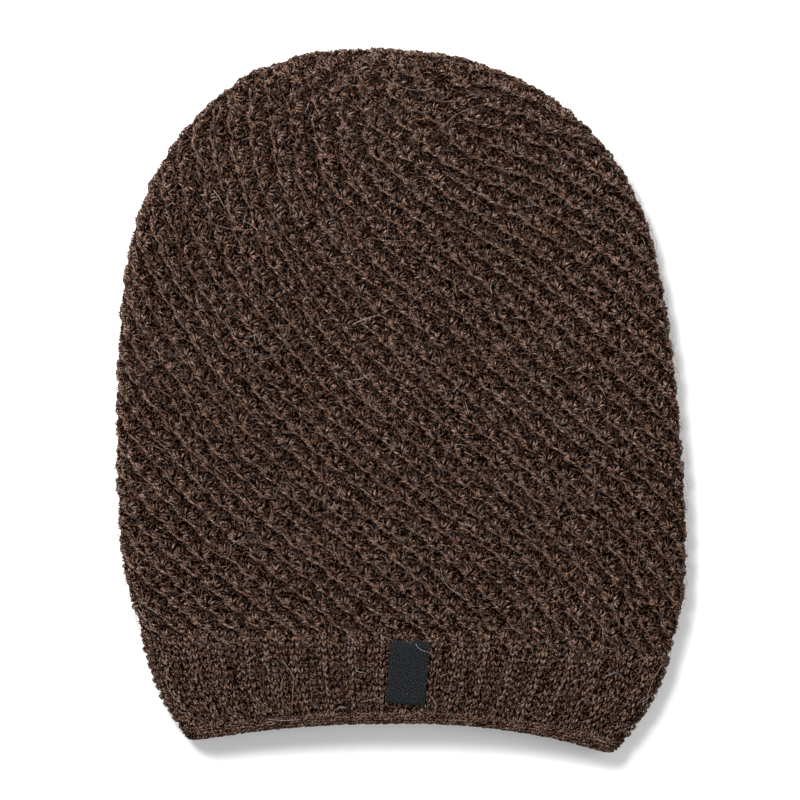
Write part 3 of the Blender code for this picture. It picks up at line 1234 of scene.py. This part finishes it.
    def build(self, rng: Generator) -> None:
        """Builds the wall, the stars and the loops round the crown.

        Args:
            rng: The source of the small differences between stars.
        """
        wall = self.wall().build(self.ground, "body_wool")
        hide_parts("body")
        stars = self.rows.stars()
        LOG.info("%d stars", len(stars["share"]))
        low = stars["up"] < self.parting * self.form.meridian
        for side in Side:
            chosen = side.holds(stars["share"])
            for part, keep in (("lower", chosen & low), ("upper", chosen & ~low)):
                yarns = self.strands({key: value[keep] for key, value in stars.items()}, rng)
                if side is Side.BACK:
                    yarns = yarns.thinned()
                else:
                    self.hairs(yarns, rng).mesh(f"body_hairs_{part}", self.wool, "body_wool")
                yarns.mesh(f"body_stars_{side.name.lower()}_{part}", self.wool, "body_wool")
        self.filled(rng).mesh("body_crown_loops", self.wool, "body_wool")


@dataclass(frozen=True)
class Band:
    """The fine-knit band: a cloth wall under small close stitches, with a rolled cast-on edge."""

    form: HatForm
    wool: Material
    ground: Material
    columns: int = 168
    stitch: float = 2.83 * MM
    # Two waves of height run round the band, and painted shade darkens their valleys: how many, how many more,
    # and the share of each
    ripples: int = 40
    second_ripples: float = 1.86
    ripple_shares: tuple[float, float] = (0.6, 0.4)
    ripple: float = 0.8 * MM
    sink: float = 0.9 * MM
    # Steps up a leg of a stitch: place across and up as shares of a stitch, height and radius in millimetres
    leg_profile: tuple[tuple[float, ...], ...] = (
        (0.04, -0.50, -0.75, 0.34),
        (0.12, -0.22, 0.65, 0.53),
        (0.25, 0.14, 0.80, 0.55),
        (0.36, 0.46, -0.60, 0.34),
    )
    # How wide a stitch is where its yarn has its own thickness, and how far that may change
    full_width: float = 2.9 * MM
    size_limits: tuple[float, float] = (0.85, 1.25)
    # Yarns along the rim's edge: up from it and height on the face, in millimetres
    edge_lines: tuple[tuple[float, float], ...] = (
        (3.6, 0.0),
        (2.5, 0.2),
        (1.3, 0.1),
        (0.1, -0.3),
        (-0.5, -1.5),
        (0.3, -2.6),
    )
    edge_twists: int = 150
    edge_climb: float = 0.35
    # The wall's outer face, inside the hat's at the folds and below the yarns' base on the flat sides
    fold_depth: float = 0.7 * MM
    under_yarn: float = 0.2 * MM
    wall_rings: int = 16

    def stitches(self, rng: Generator) -> Strands:
        """Lays the band's stitches.

        Args:
            rng: The source of the small differences between stitches.

        Returns:
            Their yarns, two legs to a stitch.
        """
        rows = round(self.form.band_height / self.stitch)
        pitch = self.form.band_height / rows
        cells = np.meshgrid(np.arange(self.columns), np.arange(1, rows + 1), (-1, 1), indexing="ij")
        column, row, leg = (values.ravel()[:, None].astype(float) for values in cells)
        across, rise, height, radius = np.array(self.leg_profile).T
        count = len(column)
        share = (column + 0.5 + leg * across + rng.normal(0, 0.09, (count, 1))) / self.columns
        drift = rng.normal(0, 0.25, self.columns)[column.astype(int)]
        up = (row + 0.5 + rise + drift + rng.normal(0, 0.10, (count, 1))) * pitch - self.form.band_height
        height = height * MM * rng.normal(1, 0.2, (count, 1)) + rng.normal(0, 0.15 * MM, (count, 1))
        slow, quick = self.ripple_shares
        wave = np.cos(TURN * self.ripples * share) * slow
        wave = wave + np.cos(TURN * self.ripples * self.second_ripples * share) * quick
        points, normals = self.form.lifted(share, up, height + self.ripple * wave, self.sink)
        width = np.linalg.norm(self.form.axes(share[:, 1], up[:, 1])[1], axis=-1) / self.columns
        size = np.clip(width / self.full_width, *self.size_limits)[:, None]
        radii = radius * MM * rng.normal(1, 0.08, (count, 1)) * size
        # Painted shade and light: yarn lower on the cloth and in the ripples' valleys is darker, and higher
        # yarn lighter
        tones = rng.normal(0.42, 0.13, (count, 1)) + 0.20 * np.clip(height / (0.6 * MM), -1, 1) + 0.27 * wave
        return Strands(points, normals, radii, tones, sides=4)

    def rim(self, rng: Generator) -> Strands:
        """Lays the cast-on yarns that run along the rim's edge.

        Args:
            rng: The source of the small differences between plies.

        Returns:
            Their plies.
        """
        twist = np.linspace(-1, 1, 4)[None, :]
        start = np.arange(self.edge_twists)[:, None]
        plies = []
        for up, height in self.edge_lines:
            share = (start + rng.uniform(-0.25, 0.25, start.shape) + 0.8 * twist) / self.edge_twists
            lift = rng.normal(0, 0.12, share.shape) + up + self.edge_climb * twist
            arch = height * MM + 0.35 * MM * (1 - 1.6 * twist**2)
            ups = lift * MM - self.form.band_height
            points, normals = self.form.lifted(share, ups, np.broadcast_to(arch, share.shape), 0.0)
            radii = MM * (0.62 - 0.2 * twist**2) * rng.normal(1, 0.1, start.shape)
            plies.append((points, normals, radii))
        tones = rng.normal(0.42, 0.12, self.edge_twists * len(self.edge_lines))
        return Strands(*(np.concatenate(parts) for parts in zip(*plies)), tones, sides=4)

    def build(self, rng: Generator) -> None:
        """Builds the wall, the stitches and the rim.

        Args:
            rng: The source of the small differences between stitches.
        """
        ups = np.linspace(-self.form.band_height + 0.4 * MM, -0.3 * MM, self.wall_rings)
        depths = (self.fold_depth, self.sink + self.under_yarn)
        cloth = Wall(self.form, "band_wall", ups, depths, self.form.band_wall, False)
        wall = cloth.build(self.ground, "band_wool")
        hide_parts("band")
        self.stitches(rng).mesh("band_stitches", self.wool, "band_wool")
        self.rim(rng).mesh("band_rim", self.wool, "band_wool")


@dataclass(frozen=True)
class Label:
    """The small woven tab sewn over the band, folded at its lower end."""

    form: HatForm
    tape: Material
    width: float = 17.8 * MM
    length: float = 29.0 * MM
    tilt: float = math.radians(5)
    offset: float = 3.1 * MM
    tuck: float = 0.3 * MM
    thickness: float = 0.8 * MM
    # The edge is rounded over this share of the thickness
    rounding: float = 0.45
    lift: float = 1.0 * MM
    pucker: float = 0.2 * MM
    puckers: float = 4.3
    # Its lower edge slopes down to the right by this much, its upper one less
    low_slope: float = math.radians(5.0)
    high_slope: float = math.radians(1.5)
    # The top dives under the body's first row over this share of the half length, by this much
    dive_from: float = 0.8
    dive: float = 1.9 * MM
    columns: int = 28
    rows: int = 44

    def build(self) -> None:
        """Builds the tab as a thin cushion of cloth that follows the band."""
        a = np.linspace(-1, 1, self.columns)[None, :]
        b = np.linspace(-1, 1, self.rows)[:, None]
        top = self.form.crown_y - self.form.body_length + self.tuck
        slope = self.low_slope + (self.high_slope - self.low_slope) * (b + 1) / 2
        y = top - self.length / 2 + b * self.length / 2 - np.tan(slope) * a * self.width / 2
        x = self.offset + a * self.width / 2 + (y - (top - self.length / 2)) * math.tan(self.tilt)
        up = y - (top - self.tuck)
        section = self.form.section(up)
        middle = (section["left"] + section["right"]) / 2
        girth = 2 * (section["right"] - section["left"]) + (TURN - 4) * section["half_depth"]
        surface = self.form.point(0.25 + (x - middle) / girth, up)
        edge = np.minimum(1 - np.abs(a), (1 - np.abs(b)) * self.length / self.width) * self.width / 2
        inward = np.clip(edge / (self.rounding * self.thickness), 0, 1)
        round_off = np.sqrt(np.clip(1 - (1 - inward) ** 2, 0, 1))
        pucker = self.pucker * np.sin(self.puckers * math.pi * b + a) * np.abs(a) ** 3
        tucked = self.lift - self.dive * np.clip((b - self.dive_from) / (1 - self.dive_from), 0, 1) ** 2
        middle_z = surface[..., 2] + tucked + pucker
        half = self.thickness / 2 * round_off
        points = np.array([np.stack((x, y, middle_z + side * half), axis=-1) for side in (1, -1)])
        outer = grid(self.rows, self.columns, False)
        quads = np.concatenate((outer, outer[:, ::-1] + self.rows * self.columns))
        places = np.broadcast_arrays(a * self.width / 2 / MM, b * self.length / 2 / MM)
        places = np.tile(np.stack(places, axis=-1).reshape(-1, 2), (2, 1))[quads]
        tab = Piece("label_tab", points, quads, places).build(self.tape, "label_cloth")
        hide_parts("label")


@dataclass(frozen=True)
class Fuzz:
    """Loose fibres that stand and lie on the wool."""

    form: HatForm
    fibre: Material
    short_count: int = 6700
    long_count: int = 110
    # How far fibres stay from the rim and from the crown, and how far they may stray towards the crown
    rim_stop: float = 1 * MM
    crown_stop: float = 6 * MM
    crown_least: float = 2 * MM
    # How high fibres start on the band and on the body, and how far they arch over it in millimetres
    band_base: float = 0.3 * MM
    body_base: float = 0.5 * MM
    arch_mm: tuple[float, float] = (0.2, 1.3)
    # The longest hairs on the face: x and y in millimetres of their start, middle and end, and tone
    hairs: tuple[tuple[float, ...], ...] = (
        (-21.8, 34.1, -15.5, 36.8, -10.0, 38.2, 0.99),
        (-21.8, 9.1, -17.3, 10.0, -13.6, 12.7, 0.97),
        (-68.6, 28.4, -65.5, 29.5, -62.3, 30.9, 0.96),
        (-25.0, 44.1, -24.5, 42.3, -23.6, 40.9, 0.92),
        (-28.6, 22.7, -27.7, 25.0, -26.4, 26.4, 0.90),
        (-32.7, -7.7, -30.9, -4.5, -28.6, -2.7, 0.88),
        (6.7, -110.0, 8.6, -112.3, 12.5, -113.9, 0.96),
        (-18.3, -136.4, -10.2, -134.4, -7.7, -133.4, 0.92),
        (13.2, -133.6, 15.8, -139.0, 12.3, -143.5, 0.95),
        (14.5, -121.4, 16.4, -123.2, 18.4, -125.6, 0.90),
        (-53.8, -117.5, -49.6, -122.9, -48.4, -126.6, 0.97),
        (-48.4, -126.6, -49.0, -134.0, -49.4, -141.5, 0.86),
        (-60.0, -144.4, -52.1, -144.8, -46.4, -144.4, 0.94),
        (91.6, -125.9, 96.7, -123.2, 99.5, -125.4, 0.93),
        (108.6, -136.4, 110.9, -134.5, 113.2, -132.3, 0.93),
    )
    hair_steps: int = 12
    hair_radius: float = 0.105 * MM

    def fibres(
        self,
        name: str,
        count: int,
        steps: int,
        length_mm: tuple[float, float],
        radius_mm: float,
        rng: Generator,
    ) -> None:
        """Lays fibres that wander over the wool.

        Args:
            name: The piece's name.
            count: How many fibres.
            steps: Points on each.
            length_mm: Shortest and longest, in millimetres.
            radius_mm: Radius, in millimetres.
            rng: The source of their ways.
        """
        span = (-self.form.band_height + self.rim_stop, self.form.meridian - self.crown_stop)
        share, up, around, upward = self.form.scatter(count, span, rng)
        count = len(share)
        step = rng.uniform(*length_mm, count) * MM / (steps - 1)
        heading = rng.uniform(0, TURN, count)
        bend = rng.normal(0, 0.9, count) / (steps - 1)
        shares, ups = [share], [up]
        for _ in range(steps - 1):
            heading = heading + bend + rng.normal(0, 0.2 / math.sqrt(steps), count)
            shares.append(shares[-1] + step * np.cos(heading) / around)
            ups.append(ups[-1] + step * np.sin(heading) / upward)
        ups = np.clip(np.stack(ups, axis=1), -self.form.band_height, self.form.meridian - self.crown_least)
        t = np.linspace(0, 1, steps)[None, :]
        base = np.where(ups < 0, self.band_base, self.body_base)
        arch = rng.uniform(*self.arch_mm, (count, 1)) * MM
        arch = arch * np.sin(math.pi * t * rng.uniform(0.5, 1.0, (count, 1)))
        points, normals = self.form.lifted(np.stack(shares, axis=1), ups, base + arch, 0.0)
        under = np.clip(-normals[..., 2:3], 0, 1)
        points = points - normals * under * (base + arch)[..., None] * 1.1
        radii = radius_mm * MM * rng.uniform(0.7, 1.3, (count, 1)) * (1 - 0.6 * t**2)
        Strands(points, normals, radii, rng.uniform(0, 1, count)).mesh(name, self.fibre, "body_wool")

    def placed(self) -> None:
        """Lays the longest hairs, each on an arc through its three points."""
        table = np.array(self.hairs)
        t = np.linspace(0, 1, self.hair_steps)[None, :, None]
        start, middle, end = (table[:, None, i : i + 2] * MM for i in (0, 2, 4))
        arc = start * (1 - t) * (1 - 2 * t) + middle * 4 * t * (1 - t) + end * t * (2 * t - 1)
        share, up = self.form.find(arc[..., 0], arc[..., 1])
        height = (1.3 + 0.6 * np.sin(math.pi * t[..., 0])) * MM
        points, normals = self.form.lifted(share, up, np.broadcast_to(height, share.shape), 0.0)
        radii = np.broadcast_to(self.hair_radius * (1 - 0.5 * t[..., 0] ** 2), share.shape)
        Strands(points, normals, radii, table[:, 6]).mesh("fuzz_placed", self.fibre, "body_wool")

    def build(self, rng: Generator) -> None:
        """Builds the short fuzz and the long stray hairs.

        Args:
            rng: The source of their ways.
        """
        self.placed()
        self.fibres("fuzz_short", self.short_count, 3, (2.0, 6.5), 0.08, rng)
        self.fibres("fuzz_long", self.long_count, 12, (7.0, 30.0), 0.10, rng)


@dataclass(frozen=True)
class Studio:
    """A pale floor, soft light from above and a camera straight over the hat."""

    frame_px: int = 800
    scale: float = 0.4545 * MM
    middle_px: tuple[float, float] = (401.0, 400.0)
    distance: float = 2.0
    focus_height: float = 12 * MM
    sensor: float = 36.0
    floor_half: float = 1.6
    sky: float = 0.40
    # Each lamp's name, place, size and power
    lamps: tuple[tuple, ...] = (
        ("key", (-0.55, 0.75, 1.25), 0.6, 34.0),
        ("fill", (0.9, -0.3, 1.2), 1.0, 8.0),
    )

    def floor(self) -> None:
        """Lays the floor of matt white card."""
        half = self.floor_half
        data = bpy.data.meshes.new("floor")
        corners = np.array([(-half, -half, 0), (half, -half, 0), (half, half, 0), (-half, half, 0)])
        fill_mesh(data, corners, np.array([[0, 1, 2, 3]]))
        floor = bpy.data.objects.new("floor", data)
        bpy.context.scene.collection.objects.link(floor)
        card, tree, shader = start_material("matt white studio card")
        feed(tree, shader, base_color=linear("#f7f7f7"), roughness=0.95, specular_ior_level=0.1)
        data.materials.append(card)

    def lights(self) -> None:
        """Hangs the sky's even light and the lamps, which face the hat."""
        scene = bpy.context.scene
        world = bpy.data.worlds.new("studio")
        scene.world = world
        world.use_nodes = True
        background = world.node_tree.nodes["Background"]
        feed(world.node_tree, background, color=linear("#ffffff"), strength=self.sky)
        for name, place, size, power in self.lamps:
            light = bpy.data.lights.new(name, "AREA")
            light.size = size
            light.energy = power
            lamp = bpy.data.objects.new(name, light)
            lamp.location = place
            lamp.rotation_euler = Vector(place).to_track_quat("Z", "Y").to_euler()
            scene.collection.objects.link(lamp)

    def camera(self) -> None:
        """Sets up the camera."""
        scene = bpy.context.scene
        lens = bpy.data.cameras.new("camera")
        lens.sensor_width = self.sensor
        lens.lens = self.sensor * self.distance / (self.frame_px * self.scale)
        lens.clip_end = 10
        camera = bpy.data.objects.new("camera", lens)
        shift_x = (self.frame_px / 2 - self.middle_px[0]) * self.scale
        shift_y = (self.middle_px[1] - self.frame_px / 2) * self.scale
        camera.location = (shift_x, shift_y, self.focus_height + self.distance)
        scene.collection.objects.link(camera)
        scene.camera = camera

    def build(self) -> None:
        """Builds the floor, the lights and the camera."""
        bpy.context.scene.view_settings.view_transform = "Standard"
        self.floor()
        self.lights()
        self.camera()


def main() -> None:
    """Builds the studio and the hat's pieces in order."""
    logging.basicConfig(level=logging.INFO, format="%(name)s: %(message)s")
    rng = np.random.default_rng(SEED)
    Studio().build()
    form = HatForm()
    body_wool = Wool("plied brown wool and alpaca yarn", gain=0.77).material()
    band_wool = Wool("plied brown wool, knitted fine", gain=0.45, ply_pitch_mm=1.3).material()
    # The ground's low gain is painted shade: it darkens the cloth between the stitches, where shade falls
    ground = Wool(
        "matted brown wool between the stitches", gain=0.16, contrast=0.3, matted=True, gloss=0.0, sheen=0.0
    ).material()
    Body(form, StarRows(form), body_wool, ground).build(rng)
    Band(form, band_wool, ground).build(rng)
    Label(form, LabelTape().material()).build()
    Fuzz(form, Fibre().material()).build(rng)


if __name__ == "__main__":
    main()
